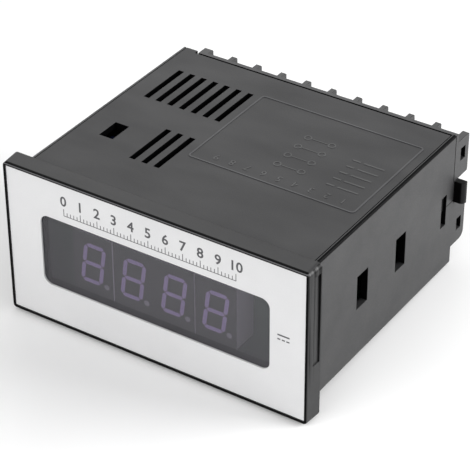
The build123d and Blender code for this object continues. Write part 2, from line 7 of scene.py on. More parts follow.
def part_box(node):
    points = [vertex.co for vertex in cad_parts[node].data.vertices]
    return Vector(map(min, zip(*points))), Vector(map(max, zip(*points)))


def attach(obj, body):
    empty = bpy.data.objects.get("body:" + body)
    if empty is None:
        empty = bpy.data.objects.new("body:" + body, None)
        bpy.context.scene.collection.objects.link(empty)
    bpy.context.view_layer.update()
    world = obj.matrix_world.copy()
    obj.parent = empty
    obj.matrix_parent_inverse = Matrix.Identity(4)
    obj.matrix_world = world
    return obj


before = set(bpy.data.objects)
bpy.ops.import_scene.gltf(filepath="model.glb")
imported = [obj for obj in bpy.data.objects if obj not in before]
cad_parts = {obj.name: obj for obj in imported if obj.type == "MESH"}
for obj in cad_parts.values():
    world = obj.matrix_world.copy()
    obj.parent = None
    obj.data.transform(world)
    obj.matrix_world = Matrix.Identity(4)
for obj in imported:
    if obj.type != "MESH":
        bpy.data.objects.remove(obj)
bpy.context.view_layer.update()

# The case: one black moulding with the bezel, collar, side walls and bottom. The
# tool is finely etched, so the plastic has a dull grain. The bezel, its rim and
# flanks, the top of the right wall and all sharp edges are smoother, with a painted
# dark reflection that darkens their colour; the rim has a painted highlight line
# and the latch slit painted shade.
MM = 0.001
BLACK = (0.010, 0.010, 0.011)
LIGHTER_BLACK = (0.016, 0.016, 0.017)
ETCHED_GRAIN_MM = 0.28
SKIN_FLOW_MM = 22.0
SKIN_CLOUD_MM = 9.0
SMOOTH_ROUGHNESS = 0.3
SMOOTH_SHINE = 0.03
# Painted dark reflection: how far the colour darkens on edges and smooth zones.
PAINTED_REFLECTION_DARKENING = 0.2


def start_finish(name):
    material = bpy.data.materials.new(name)
    material.use_nodes = True
    tree = material.node_tree
    return material, tree, tree.nodes["Principled BSDF"]


def grain_noise(tree, size_mm, detail=2.0, stretch=(1.0, 1.0, 1.0)):
    place = tree.nodes.new("ShaderNodeTexCoord")
    spread = tree.nodes.new("ShaderNodeMapping")
    spread.inputs["Scale"].default_value = stretch
    tree.links.new(place.outputs["Object"], spread.inputs["Vector"])
    noise = tree.nodes.new("ShaderNodeTexNoise")
    noise.inputs["Scale"].default_value = 1.0 / (size_mm * MM)
    noise.inputs["Detail"].default_value = detail
    tree.links.new(spread.outputs["Vector"], noise.inputs["Vector"])
    return noise.outputs["Fac"]


def graded(tree, source, dark, light, start=0.3, stop=0.7):
    ramp = tree.nodes.new("ShaderNodeValToRGB")
    first, last = ramp.color_ramp.elements
    first.position = start
    first.color = (*dark, 1.0)
    last.position = stop
    last.color = (*light, 1.0)
    tree.links.new(source, ramp.inputs["Fac"])
    return ramp.outputs["Color"]


def between(tree, source, low, high, start=0.3, stop=0.7):
    span = tree.nodes.new("ShaderNodeMapRange")
    span.inputs["From Min"].default_value = start
    span.inputs["From Max"].default_value = stop
    span.inputs["To Min"].default_value = low
    span.inputs["To Max"].default_value = high
    tree.links.new(source, span.inputs["Value"])
    return span.outputs["Result"]


def combined(tree, operation, first, second=None):
    step = tree.nodes.new("ShaderNodeMath")
    step.operation = operation
    tree.links.new(first, step.inputs[0])
    if second is not None:
        tree.links.new(second, step.inputs[1])
    return step.outputs["Value"]


def blend_colours(tree, factor, first, second):
    mix = tree.nodes.new("ShaderNodeMix")
    mix.data_type = "RGBA"
    tree.links.new(factor, mix.inputs["Factor"])
    for socket, colour in ((mix.inputs["A"], first), (mix.inputs["B"], second)):
        if isinstance(colour, tuple):
            socket.default_value = (*colour, 1.0)
        else:
            tree.links.new(colour, socket)
    return mix.outputs["Result"]


def soft_edges(tree, radius_mm):
    rounded = tree.nodes.new("ShaderNodeBevel")
    rounded.samples = 4
    rounded.inputs["Radius"].default_value = radius_mm * MM
    return rounded.outputs["Normal"]


# The band along rounded edges, which moulding_finish makes smoother and paints with a dark
# reflection.
def worn_edges(tree, rounded, start=0.02, stop=0.25):
    flat = tree.nodes.new("ShaderNodeNewGeometry")
    compare = tree.nodes.new("ShaderNodeVectorMath")
    compare.operation = "DOT_PRODUCT"
    tree.links.new(rounded, compare.inputs[0])
    tree.links.new(flat.outputs["True Normal"], compare.inputs[1])
    return between(tree, compare.outputs["Value"], 1.0, 0.0, 1.0 - stop, 1.0 - start)


def grain_bump(tree, shader, height, depth_mm, strength=1.0, normal=None):
    bump = tree.nodes.new("ShaderNodeBump")
    bump.inputs["Distance"].default_value = depth_mm * MM
    bump.inputs["Strength"].default_value = strength
    tree.links.new(height, bump.inputs["Height"])
    if normal is not None:
        tree.links.new(normal, bump.inputs["Normal"])
    tree.links.new(bump.outputs["Normal"], shader.inputs["Normal"])


def coat(material, *names):
    for name in names:
        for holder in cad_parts[name].material_slots:
            holder.material = material


def along_axis(tree, kind, axis):
    place = tree.nodes.new("ShaderNodeTexCoord")
    split = tree.nodes.new("ShaderNodeSeparateXYZ")
    tree.links.new(place.outputs[kind], split.inputs["Vector"])
    return split.outputs[axis]


def aside(tree):
    return combined(tree, "ABSOLUTE", along_axis(tree, "Object", "X"))


# Each limit is an axis (or the distance to either side), the millimetre where the
# zone has ended and the millimetre where it is full.
def zone_within(tree, *limits):
    zone = None
    for axis, ended_mm, full_mm in limits:
        source = aside(tree) if axis == "aside" else along_axis(tree, "Object", axis)
        step = between(tree, source, 0.0, 1.0, ended_mm * MM, full_mm * MM)
        zone = step if zone is None else combined(tree, "MULTIPLY", zone, step)
    return zone


# Faces turned to the front, painted dark: painted shade on the carrier, and painted dark
# reflection on the bezel's rim.
def front_faces(tree):
    return between(tree, along_axis(tree, "Normal", "Y"), 1.0, 0.0, -0.95, -0.7)


# The hairline along the rim's front: a painted highlight.
def rim_line(tree):
    return zone_within(tree, ("Z", 23.12, 23.2), ("Z", 23.52, 23.44), ("Y", -5.4, -5.42))


# The bezel's front rim beside the plate: painted dark reflection and the painted shadow of the
# gap, apart from the highlight line.
def rim_faces(tree):
    bare = between(tree, rim_line(tree), 1.0, 0.0, 0.0, 1.0)
    front_of_flank = zone_within(tree, ("Y", -4.8, -5.0))
    inside_walls = zone_within(tree, ("aside", 45.15, 45.05))
    kept = combined(tree, "MAXIMUM", front_of_flank, inside_walls)
    return combined(tree, "MULTIPLY", front_faces(tree), combined(tree, "MULTIPLY", bare, kept))


# The rim's rounded top edge: painted dark reflection.
def rim_top(tree):
    return zone_within(tree, ("Z", 23.44, 23.52), ("Y", -4.65, -4.85))


# The rounded top edge of the right wall only: painted dark reflection.
def right_wall_top(tree):
    return zone_within(tree, ("Z", 20.4, 20.6), ("Y", 0.1, 0.4), ("X", 44.15, 44.3))


# The bezel's flanks: painted streaks of dark reflection, strongest towards the top.
def flank_streaks(tree):
    streak_noise = grain_noise(tree, 1.1, stretch=(0.02, 1.0, 0.02))
    painted_streak = between(tree, streak_noise, 0.0, 1.0, 0.36, 0.62)
    height = along_axis(tree, "Object", "Z")
    fade = between(tree, height, 0.25, 0.9, -16.0 * MM, -4.0 * MM)
    painted_streak = combined(tree, "MULTIPLY", painted_streak, fade)
    return combined(tree, "MULTIPLY", painted_streak, zone_within(tree, ("aside", 46.9, 47.3)))


# The whole bezel: a little smoother, with a faint painted dark reflection.
def bezel_skin(tree):
    return between(tree, along_axis(tree, "Object", "Y"), 0.3, 0.0, -0.1 * MM, 0.1 * MM)


# The latch slit in both side walls, at the rear: painted shade.
def latch_slit(tree):
    return zone_within(tree, ("Z", -0.25, -0.15), ("Z", 0.25, 0.15),
                       ("aside", 44.8, 44.9), ("Y", 70.9, 71.1))


def moulding_finish(name, dark, light, dull, grain_mm, edge_mm=0.25, shine=0.5, zones=(),
                    paler=None, times_paler=2.9):
    material, tree, shader = start_finish(name)
    body = graded(tree, grain_noise(tree, SKIN_FLOW_MM, detail=4.0), dark, light)
    rounded = soft_edges(tree, edge_mm)
    # Painted dark reflection on the rounded edges and in the given zones, which are also smoother.
    smooth_and_painted_dark = worn_edges(tree, rounded)
    for zone in zones:
        smooth_and_painted_dark = combined(tree, "MAXIMUM", smooth_and_painted_dark, zone(tree))
    # The paler zone is lightened; on the case this is the rim's painted highlight.
    if paler is not None:
        pale = tuple(times_paler * part for part in light)
        body = blend_colours(tree, paler(tree), body, pale)
    # The colour of the painted dark reflection.
    black = tuple(PAINTED_REFLECTION_DARKENING * part for part in dark)
    tree.links.new(blend_colours(tree, smooth_and_painted_dark, body, black), shader.inputs["Base Color"])
    etched = grain_noise(tree, grain_mm)
    fine = between(tree, etched, -0.05, 0.05)
    cloud = grain_noise(tree, SKIN_CLOUD_MM, detail=5.0, stretch=(0.35, 1.0, 1.0))
    broad = between(tree, cloud, dull - 0.05, dull + 0.05)
    gloss = tree.nodes.new("ShaderNodeMapRange")
    gloss.inputs["To Max"].default_value = SMOOTH_ROUGHNESS
    tree.links.new(smooth_and_painted_dark, gloss.inputs["Value"])
    tree.links.new(combined(tree, "ADD", fine, broad), gloss.inputs["To Min"])
    tree.links.new(gloss.outputs["Result"], shader.inputs["Roughness"])
    shader.inputs["Specular IOR Level"].default_value = shine
    tree.links.new(between(tree, smooth_and_painted_dark, shine, SMOOTH_SHINE, 0.0, 1.0),
                   shader.inputs["Specular IOR Level"])
    grain_bump(tree, shader, etched, depth_mm=0.02, strength=0.25, normal=rounded)
    return material


# The case's zones carry painted dark reflections and painted shade, and the rim line a painted
# highlight.
case_plastic = moulding_finish(
    "case_plastic", BLACK, LIGHTER_BLACK, dull=0.5, grain_mm=ETCHED_GRAIN_MM, shine=0.64,
    zones=(rim_faces, rim_top, right_wall_top, flank_streaks, bezel_skin, latch_slit),
    paler=rim_line, times_paler=8.0)
coat(case_plastic, "case")

# The faceplate: thin plate with a fine grained silver-grey lacquer, let into the
# bezel's recess and held by its own adhesive.
LACQUER_CLOUD_MM = 16.0
LACQUER_FLECK_MM = 0.16
LACQUER = (0.70, 0.70, 0.705)
LIGHTER_LACQUER = (0.74, 0.74, 0.745)
FLECK = (0.52, 0.52, 0.53)
plate_lacquer, tree, shader = start_finish("plate_lacquer")
cloud = grain_noise(tree, LACQUER_CLOUD_MM, detail=3.0)
lacquer = graded(tree, cloud, LACQUER, LIGHTER_LACQUER)
fleck = grain_noise(tree, LACQUER_FLECK_MM)
speck = between(tree, fleck, 0.0, 0.22)
tree.links.new(blend_colours(tree, speck, lacquer, FLECK), shader.inputs["Base Color"])
tree.links.new(between(tree, fleck, 0.42, 0.56), shader.inputs["Roughness"])
grain_bump(tree, shader, fleck, depth_mm=0.01, strength=0.3, normal=soft_edges(tree, 0.12))
coat(plate_lacquer, "faceplate")

# The printed scale: a row of ticks with plain numbers, screened in dark grey ink
# above the window, and the sign for direct current beside it.
PLATE_FRONT_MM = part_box("faceplate")[0].y / MM
INK_MM = 0.02
INK_BACK_MM = PLATE_FRONT_MM
INK_FRONT_MM = PLATE_FRONT_MM - INK_MM
INK = (0.070, 0.070, 0.075)
LIGHTER_INK = tuple(1.25 * part for part in INK)
SCALE_LEFT_MM = -28.0
SCALE_LINE_MM = (13.2, 13.4)
TICK_STEP_MM = 1.08
TICK_HALF_MM = 0.1
LONG_TICK_MM = 2.0
SHORT_TICK_MM = 1.1
TICKS_PER_NUMBER = 5
HIGHEST_NUMBER = 10
NUMBER_HEIGHT_MM = 17.6
NUMBER_SIZE_MM = 4.2
NUMBER_BOLD_MM = 0.08


def mottled_finish(name, dark, light, size_mm, rough, depth_mm, strength,
                   detail=2.0, stretch=(1.0, 1.0, 1.0), start=0.3):
    material, tree, shader = start_finish(name)
    grain = grain_noise(tree, size_mm, detail, stretch)
    tree.links.new(graded(tree, grain, dark, light, start), shader.inputs["Base Color"])
    tree.links.new(between(tree, grain, *rough), shader.inputs["Roughness"])
    grain_bump(tree, shader, grain, depth_mm, strength)
    return material


def strip_box(mesh, low_mm, high_mm):
    corners = [mesh.verts.new((x * MM, y * MM, z * MM))
               for x in (low_mm[0], high_mm[0])
               for y in (low_mm[1], high_mm[1])
               for z in (low_mm[2], high_mm[2])]
    sides = ((0, 1, 3, 2), (4, 6, 7, 5), (0, 4, 5, 1), (2, 3, 7, 6), (0, 2, 6, 4), (1, 5, 7, 3))
    for side in sides:
        mesh.faces.new([corners[i] for i in side])


def laid_piece(name, mesh, material, body):
    data = bpy.data.meshes.new(name)
    bmesh.ops.recalc_face_normals(mesh, faces=mesh.faces)
    mesh.to_mesh(data)
    mesh.free()
    piece = bpy.data.objects.new(name, data)
    bpy.context.scene.collection.objects.link(piece)
    data.materials.append(material)
    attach(piece, body)


def number_shape(text, size_mm, thick_mm, bold_mm):
    curve = bpy.data.curves.new("number", "FONT")
    curve.body = text
    curve.size = size_mm * MM
    curve.align_x = "CENTER"
    curve.align_y = "CENTER"
    curve.bevel_depth = bold_mm * MM
    curve.bevel_resolution = 0
    curve.resolution_u = 3
    holder = bpy.data.objects.new("number", curve)
    bpy.context.scene.collection.objects.link(holder)
    bpy.context.view_layer.update()
    shape = bpy.data.meshes.new_from_object(holder)
    shape.transform(Matrix.Diagonal((1.0, 1.0, 0.5 * thick_mm / bold_mm, 1.0)))
    bpy.data.objects.remove(holder)
    return shape


def add_number(mesh, text, size_mm, thick_mm, bold_mm, spot_mm, turned):
    shape = number_shape(text, size_mm, thick_mm, bold_mm)
    shape.transform(Matrix.Translation(MM * Vector(spot_mm)) @ turned)
    mesh.from_mesh(shape)
    bpy.data.meshes.remove(shape)


plate_ink = mottled_finish("plate_ink", INK, LIGHTER_INK, size_mm=0.12, rough=(0.5, 0.7),
                           depth_mm=0.004, strength=0.3, start=0.35)
upright = Matrix.Rotation(math.radians(90.0), 4, "X")
scale_print = bmesh.new()
last_tick = HIGHEST_NUMBER * TICKS_PER_NUMBER
for tick in range(last_tick + 1):
    centre = SCALE_LEFT_MM + TICK_STEP_MM * tick
    tall = SHORT_TICK_MM if tick % TICKS_PER_NUMBER else LONG_TICK_MM
    strip_box(scale_print,
              (centre - TICK_HALF_MM, INK_FRONT_MM, SCALE_LINE_MM[1]),
              (centre + TICK_HALF_MM, INK_BACK_MM, SCALE_LINE_MM[1] + tall))
strip_box(scale_print,
          (SCALE_LEFT_MM - TICK_HALF_MM, INK_FRONT_MM, SCALE_LINE_MM[0]),
          (SCALE_LEFT_MM + TICK_STEP_MM * last_tick + TICK_HALF_MM, INK_BACK_MM, SCALE_LINE_MM[1]))
for count in range(HIGHEST_NUMBER + 1):
    across = SCALE_LEFT_MM + TICK_STEP_MM * TICKS_PER_NUMBER * count
    add_number(scale_print, str(count), NUMBER_SIZE_MM, INK_MM, NUMBER_BOLD_MM,
               (across, PLATE_FRONT_MM - 0.5 * INK_MM, NUMBER_HEIGHT_MM), upright)
laid_piece("printed_scale", scale_print, plate_ink, "meter")

SIGN_LEFT_MM = 38.4
SIGN_RIGHT_MM = 42.0
SIGN_BAR_MM = (1.5, 1.95)
SIGN_DASHES_MM = (0.2, 0.6)
DASH_MM = 0.9
DASH_STEP_MM = 1.35
current_sign = bmesh.new()
strip_box(current_sign,
          (SIGN_LEFT_MM, INK_FRONT_MM, SIGN_BAR_MM[0]),
          (SIGN_RIGHT_MM, INK_BACK_MM, SIGN_BAR_MM[1]))
for dash in range(3):
    start = SIGN_LEFT_MM + DASH_STEP_MM * dash
    strip_box(current_sign,
              (start, INK_FRONT_MM, SIGN_DASHES_MM[0]),
              (start + DASH_MM, INK_BACK_MM, SIGN_DASHES_MM[1]))
laid_piece("direct_current_sign", current_sign, plate_ink, "meter")

# The window: a flat of smoked acrylic behind the faceplate, glossy, and dark
# enough to hide the unlit digits' surroundings.
SMOKE = (0.118, 0.116, 0.128)
LIGHTER_SMOKE = (0.132, 0.129, 0.143)
WINDOW_COVER = 0.35
ACRYLIC_IOR = 1.49
smoked_acrylic, tree, shader = start_finish("smoked_acrylic")
smoke = grain_noise(tree, 30.0)
tree.links.new(graded(tree, smoke, SMOKE, LIGHTER_SMOKE), shader.inputs["Base Color"])
polish = grain_noise(tree, 5.0, detail=3.0)
tree.links.new(between(tree, polish, 0.10, 0.16), shader.inputs["Roughness"])
shader.inputs["Alpha"].default_value = WINDOW_COVER
shader.inputs["IOR"].default_value = ACRYLIC_IOR
grain_bump(tree, shader, smoke, depth_mm=0.01, strength=0.1)
coat(smoked_acrylic, "window")

# The digit modules: blocks of pale lilac plastic, potted and with faces printed
# nearly black, where milky bars and grey points show. Their pins are soldered to
# the upright board, and two joints between the blocks can be seen.
BARS_FOOT_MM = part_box("digit_segments_left")[0].z / MM
LEFT_JOINT_MM = -14.1
RIGHT_JOINT_MM = 11.9
JOINT_HALF_MM = 0.15
POINTS_MM = (-16.45, -3.45, 9.55, 22.55)
POINT_HALF_MM = 0.9
POINT_TOP_MM = 1.8
LILAC = (0.66, 0.58, 0.74)
LIGHTER_LILAC = (0.74, 0.66, 0.82)
FACE_PRINT = (0.030, 0.028, 0.033)
MILKY = (0.47, 0.34, 0.70)
LIGHTER_MILKY = (0.54, 0.39, 0.79)
GREY_POINT = (0.35, 0.32, 0.41)


def near_x(tree, centre_mm, half_mm):
    nearby = tree.nodes.new("ShaderNodeMath")
    nearby.operation = "COMPARE"
    nearby.inputs[1].default_value = centre_mm * MM
    nearby.inputs[2].default_value = half_mm * MM
    tree.links.new(along_axis(tree, "Object", "X"), nearby.inputs[0])
    return nearby.outputs["Value"]


module_resin, tree, shader = start_finish("module_resin")
facing = tree.nodes.new("ShaderNodeNewGeometry")
ahead = tree.nodes.new("ShaderNodeSeparateXYZ")
tree.links.new(facing.outputs["Normal"], ahead.inputs["Vector"])
printed = between(tree, ahead.outputs["Y"], 1.0, 0.0, -0.9, -0.6)
for joint_mm, print_kept in ((LEFT_JOINT_MM, 0.15), (RIGHT_JOINT_MM, 0.6)):
    joint = near_x(tree, joint_mm, JOINT_HALF_MM)
    printed = combined(tree, "MULTIPLY", printed, between(tree, joint, 1.0, print_kept, 0.0, 1.0))
mottle = grain_noise(tree, 2.0, detail=3.0)
housing = graded(tree, mottle, LILAC, LIGHTER_LILAC)
tree.links.new(blend_colours(tree, printed, housing, FACE_PRINT), shader.inputs["Base Color"])
tree.links.new(between(tree, mottle, 0.4, 0.5), shader.inputs["Roughness"])
grain_bump(tree, shader, mottle, depth_mm=0.01, strength=0.15)
coat(module_resin, "digit_module_left", "digit_module_middle", "digit_module_right")

milky_bars, tree, shader = start_finish("milky_bars")
cast = grain_noise(tree, 1.2, detail=3.0)
milk = graded(tree, cast, MILKY, LIGHTER_MILKY)
beside = near_x(tree, POINTS_MM[0], POINT_HALF_MM)
for point_mm in POINTS_MM[1:]:
    beside = combined(tree, "MAXIMUM", beside, near_x(tree, point_mm, POINT_HALF_MM))
point_top = BARS_FOOT_MM + POINT_TOP_MM
foot = zone_within(tree, ("Z", point_top + 0.1, point_top - 0.1))
points = combined(tree, "MULTIPLY", beside, foot)
tree.links.new(blend_colours(tree, points, milk, GREY_POINT), shader.inputs["Base Color"])
tree.links.new(between(tree, cast, 0.4, 0.55), shader.inputs["Roughness"])
grain_bump(tree, shader, cast, depth_mm=0.01, strength=0.2)
coat(milky_bars, "digit_segments_left", "digit_segments_middle", "digit_segments_right")

# The circuit boards: glass fibre laminate with dark green solder mask, over
# copper tracks that stand a little proud.
TRACK_PITCH_MM = 9.0
TRACK_WIDTH = 0.03
SOLDER_MASK = (0.006, 0.028, 0.014)
LIGHTER_MASK = (0.010, 0.040, 0.020)
MASKED_TRACK = (0.020, 0.075, 0.036)
board_laminate, tree, shader = start_finish("board_laminate")
place = tree.nodes.new("ShaderNodeTexCoord")
tracks = tree.nodes.new("ShaderNodeTexBrick")
tracks.inputs["Scale"].default_value = 1.0 / (TRACK_PITCH_MM * MM)
tracks.inputs["Mortar Size"].default_value = TRACK_WIDTH
tree.links.new(place.outputs["Object"], tracks.inputs["Vector"])
weave = grain_noise(tree, 0.5)
mask = graded(tree, weave, SOLDER_MASK, LIGHTER_MASK)
tree.links.new(blend_colours(tree, tracks.outputs["Fac"], mask, MASKED_TRACK),
               shader.inputs["Base Color"])
tree.links.new(between(tree, weave, 0.3, 0.42), shader.inputs["Roughness"])
grain_bump(tree, shader, tracks.outputs["Fac"], depth_mm=0.03, strength=0.6)
coat(board_laminate, "display_board", "power_board", "signal_board")

# The pin headers: angled tinned pins in black strips, that carry the display
# board's signals down to the flat boards.
STRIP = (0.012, 0.012, 0.012)
LIGHTER_STRIP = (0.020, 0.020, 0.020)
strip_plastic = moulding_finish("strip_plastic", STRIP, LIGHTER_STRIP, dull=0.5, grain_mm=0.2)
coat(strip_plastic, "upper_header", "lower_header")

# The transformer: a stack of steel sheets round a coil, wound on a former and
# wrapped in yellowish tape.
STEEL_SHEET = (0.12, 0.12, 0.13)
LIGHTER_SHEET = (0.24, 0.23, 0.22)
TAPE = (0.20, 0.12, 0.02)
LIGHTER_TAPE = (0.32, 0.20, 0.05)
core_sheets, tree, shader = start_finish("core_sheets")
shader.inputs["Metallic"].default_value = 1.0
rust = grain_noise(tree, 4.0, detail=4.0)
tree.links.new(graded(tree, rust, STEEL_SHEET, LIGHTER_SHEET), shader.inputs["Base Color"])
sheets = grain_noise(tree, 0.5, detail=1.0, stretch=(0.02, 1.0, 0.02))
tree.links.new(between(tree, sheets, 0.35, 0.6), shader.inputs["Roughness"])
grain_bump(tree, shader, sheets, depth_mm=0.15, strength=0.8)
coat(core_sheets, "transformer_core")
coil_wrap = mottled_finish("coil_wrap", TAPE, LIGHTER_TAPE, size_mm=1.5, rough=(0.3, 0.5),
                           depth_mm=0.1, strength=0.5, stretch=(0.1, 1.0, 1.0))
coat(coil_wrap, "transformer_coil")

# The capacitors: aluminium cans in shrunk dark blue sleeves, that stand on the
# power board by their leads.
SLEEVE = (0.010, 0.012, 0.022)
LIGHTER_SLEEVE = (0.020, 0.023, 0.038)
shrunk_sleeve = mottled_finish("shrunk_sleeve", SLEEVE, LIGHTER_SLEEVE, size_mm=2.0,
                               rough=(0.25, 0.4), depth_mm=0.05, strength=0.4,
                               stretch=(1.0, 1.0, 0.3))
coat(shrunk_sleeve, "filter_capacitor", "output_capacitor")

# The rectifier, the regulator and the converter: black filled resin, moulded
# round their lead frames. The shunt is a white ceramic block.
RESIN = (0.014, 0.014, 0.015)
LIGHTER_RESIN = (0.022, 0.022, 0.023)
CERAMIC = (0.50, 0.49, 0.45)
LIGHTER_CERAMIC = (0.62, 0.61, 0.57)
black_resin = moulding_finish("black_resin", RESIN, LIGHTER_RESIN, dull=0.6, grain_mm=0.15)
coat(black_resin, "bridge_rectifier", "regulator", "converter_chip")
fired_ceramic = mottled_finish("fired_ceramic", CERAMIC, LIGHTER_CERAMIC, size_mm=0.4,
                               rough=(0.6, 0.8), depth_mm=0.04, strength=0.6, detail=3.0)
coat(fired_ceramic, "sense_resistor")

# The trimmer: a dark blue moulded body with a slotted brass rotor, reached through
# the square hole in the cover.
TRIMMER_BLUE = (0.004, 0.010, 0.045)
LIGHTER_BLUE = (0.007, 0.016, 0.070)
BRASS = (0.45, 0.30, 0.12)
LIGHTER_BRASS = (0.62, 0.45, 0.20)


def metal_finish(name, dark, light, rough, brush_mm, stretch):
    material, tree, shader = start_finish(name)
    shader.inputs["Metallic"].default_value = 1.0
    tarnish = grain_noise(tree, 2.5, detail=4.0)
    tree.links.new(graded(tree, tarnish, dark, light), shader.inputs["Base Color"])
    brush = grain_noise(tree, brush_mm, stretch=stretch)
    tree.links.new(between(tree, brush, rough - 0.07, rough + 0.07), shader.inputs["Roughness"])
    grain_bump(tree, shader, brush, depth_mm=0.006, strength=0.4, normal=soft_edges(tree, 0.1))
    return material


trimmer_plastic = moulding_finish("trimmer_plastic", TRIMMER_BLUE, LIGHTER_BLUE,
                                  dull=0.4, grain_mm=0.2)
coat(trimmer_plastic, "trimmer_body")
rotor_brass = metal_finish("rotor_brass", BRASS, LIGHTER_BRASS,
                           rough=0.32, brush_mm=0.25, stretch=(1.0, 0.1, 1.0))
coat(rotor_brass, "trimmer_rotor")


# The terminal carrier: one moulding that closes the rear, with two rows of
# barrier fins, an ear, and a sprung latch arm with a finger tab at each side. Its
# front faces, the latch hooks and the tabs are smoother, with painted shade on them.
# The latch hooks: painted shade.
def hook_faces(tree):
    return zone_within(tree, ("aside", 43.5, 43.8), ("Y", 72.5, 72.0))


# The finger tabs, below the ear: painted shade.
def tab_skin(tree):
    below_ear = between(tree, along_axis(tree, "Object", "Z"), 0.75, 0.0, 6.2 * MM, 6.4 * MM)
    return combined(tree, "MULTIPLY", zone_within(tree, ("aside", 45.1, 45.3)), below_ear)


carrier_plastic = moulding_finish("carrier_plastic", BLACK, LIGHTER_BLACK, dull=0.5,
                                  grain_mm=ETCHED_GRAIN_MM, shine=0.72,
                                  zones=(front_faces, hook_faces, tab_skin))
coat(carrier_plastic, "terminal_carrier")

# The terminals: bent brass contacts, tinned, with square clamp washers and
# cross-head screws of plated steel. Five of the nine cells in each row have one.
UPPER_CELLS = (5, 6, 7, 8, 9)
LOWER_CELLS = (1, 2, 3, 4, 5)
TIN = (0.50, 0.49, 0.45)
LIGHTER_TIN = (0.66, 0.65, 0.60)
PLATING = (0.48, 0.48, 0.47)
LIGHTER_PLATING = (0.66, 0.66, 0.65)
tinned_contact = metal_finish("tinned_contact", TIN, LIGHTER_TIN,
                              rough=0.36, brush_mm=0.3, stretch=(1.0, 0.15, 1.0))
coat(tinned_contact, "terminal_contacts")
plated_steel = metal_finish("plated_steel", PLATING, LIGHTER_PLATING,
                            rough=0.3, brush_mm=0.2, stretch=(1.0, 1.0, 0.2))
for row, cells in (("upper", UPPER_CELLS), ("lower", LOWER_CELLS)):
    for cell in cells:
        coat(plated_steel, f"clamp_{row}_{cell}", f"screw_{row}_{cell}")

# The top cover: a flat lid in the same black plastic, dropped between the side
# walls and hooked under the collar, with vents and a raised outline.
COVER_TOP_MM = 21.3


def raised_lines(tree):
    return zone_within(tree, ("Z", COVER_TOP_MM + 0.01, COVER_TOP_MM + 0.06))


# The vent slots' walls: painted shade.
def slot_walls(tree):
    upright_side = combined(tree, "ABSOLUTE", along_axis(tree, "Normal", "Z"))
    walls = between(tree, upright_side, 1.0, 0.0, 0.4, 0.7)
    low = zone_within(tree, ("Z", COVER_TOP_MM, COVER_TOP_MM - 0.04))
    return combined(tree, "MULTIPLY", walls, low)


# Painted shade in the vent slots and painted dark reflection on the edges; the raised outline is
# paler.
cover_plastic = moulding_finish("cover_plastic", BLACK, LIGHTER_BLACK, dull=0.52, grain_mm=0.3,
                                edge_mm=0.02, shine=0.43, zones=(slot_walls,), paler=raised_lines)
coat(cover_plastic, "top_cover")

# The cover's raised marks: plain numbers, rings and bars inside the outline, cut
# into the same mould, and read from the rear.
MARK_MM = 0.08
MARK_TOP_MM = COVER_TOP_MM + MARK_MM
MARK_NUMBERS = 9
MARK_NUMBER_START_MM = (36.0, 30.0)
MARK_NUMBER_STEP_MM = 4.9
MARK_NUMBER_SIZE_MM = 3.4
MARK_BOLD_MM = 0.03
BAR_ROWS = 5
BAR_ROW_MM = 3.4
BAR_SPAN_MM = (34.6, 35.2)
BARS_MM = ((37.5, 6.2), (30.3, 2.4))
MARK = (0.034, 0.034, 0.035)
LIGHTER_MARK = (0.048, 0.048, 0.049)
RING_START_MM = (19.5, 36.0)
RING_STEP_MM = (-7.5, 5.2)
RING_ROWS = 4
RING_COLUMNS = 2
RING_SIDES = 20
RING_OUTER_MM = 1.15
RING_INNER_MM = 0.8
LINK_MM = (13.4, 18.1)
LINK_HALF_MM = 0.15


def add_ring(mesh, hub_mm):
    rings = ([], [])
    for step in range(RING_SIDES):
        turn = 2.0 * math.pi * step / RING_SIDES
        for ring, reach_mm in zip(rings, (RING_OUTER_MM, RING_INNER_MM)):
            x = (hub_mm[0] + reach_mm * math.cos(turn)) * MM
            y = (hub_mm[1] + reach_mm * math.sin(turn)) * MM
            ring.append((mesh.verts.new((x, y, COVER_TOP_MM * MM)),
                         mesh.verts.new((x, y, MARK_TOP_MM * MM))))
    outer, inner = rings
    for step in range(RING_SIDES):
        after = (step + 1) % RING_SIDES
        mesh.faces.new((outer[step][0], outer[after][0], outer[after][1], outer[step][1]))
        mesh.faces.new((inner[after][0], inner[step][0], inner[step][1], inner[after][1]))
        mesh.faces.new((outer[step][1], outer[after][1], inner[after][1], inner[step][1]))
        mesh.faces.new((outer[after][0], outer[step][0], inner[step][0], inner[after][0]))


read_from_rear = Matrix.Rotation(math.radians(180.0), 4, "Z")
cover_marks = bmesh.new()
for count in range(MARK_NUMBERS):
    across = MARK_NUMBER_START_MM[0] - MARK_NUMBER_STEP_MM * count
    add_number(cover_marks, str(count + 1), MARK_NUMBER_SIZE_MM, MARK_MM, MARK_BOLD_MM,
               (across, MARK_NUMBER_START_MM[1], COVER_TOP_MM + 0.5 * MARK_MM), read_from_rear)
for row in range(BAR_ROWS):
    for bar_end, long in BARS_MM:
        strip_box(cover_marks,
                  (bar_end - long, BAR_SPAN_MM[0] + BAR_ROW_MM * row, COVER_TOP_MM),
                  (bar_end, BAR_SPAN_MM[1] + BAR_ROW_MM * row, MARK_TOP_MM))
for row in range(RING_ROWS):
    back = RING_START_MM[1] + RING_STEP_MM[1] * row
    for column in range(RING_COLUMNS):
        add_ring(cover_marks, (RING_START_MM[0] + RING_STEP_MM[0] * column, back))
    strip_box(cover_marks,
              (LINK_MM[0], back - LINK_HALF_MM, COVER_TOP_MM),
              (LINK_MM[1], back + LINK_HALF_MM, MARK_TOP_MM))
mark_plastic = moulding_finish("mark_plastic", MARK, LIGHTER_MARK, dull=0.5, grain_mm=0.2,
                               edge_mm=0.005)
laid_piece("cover_marks", cover_marks, mark_plastic, "meter")

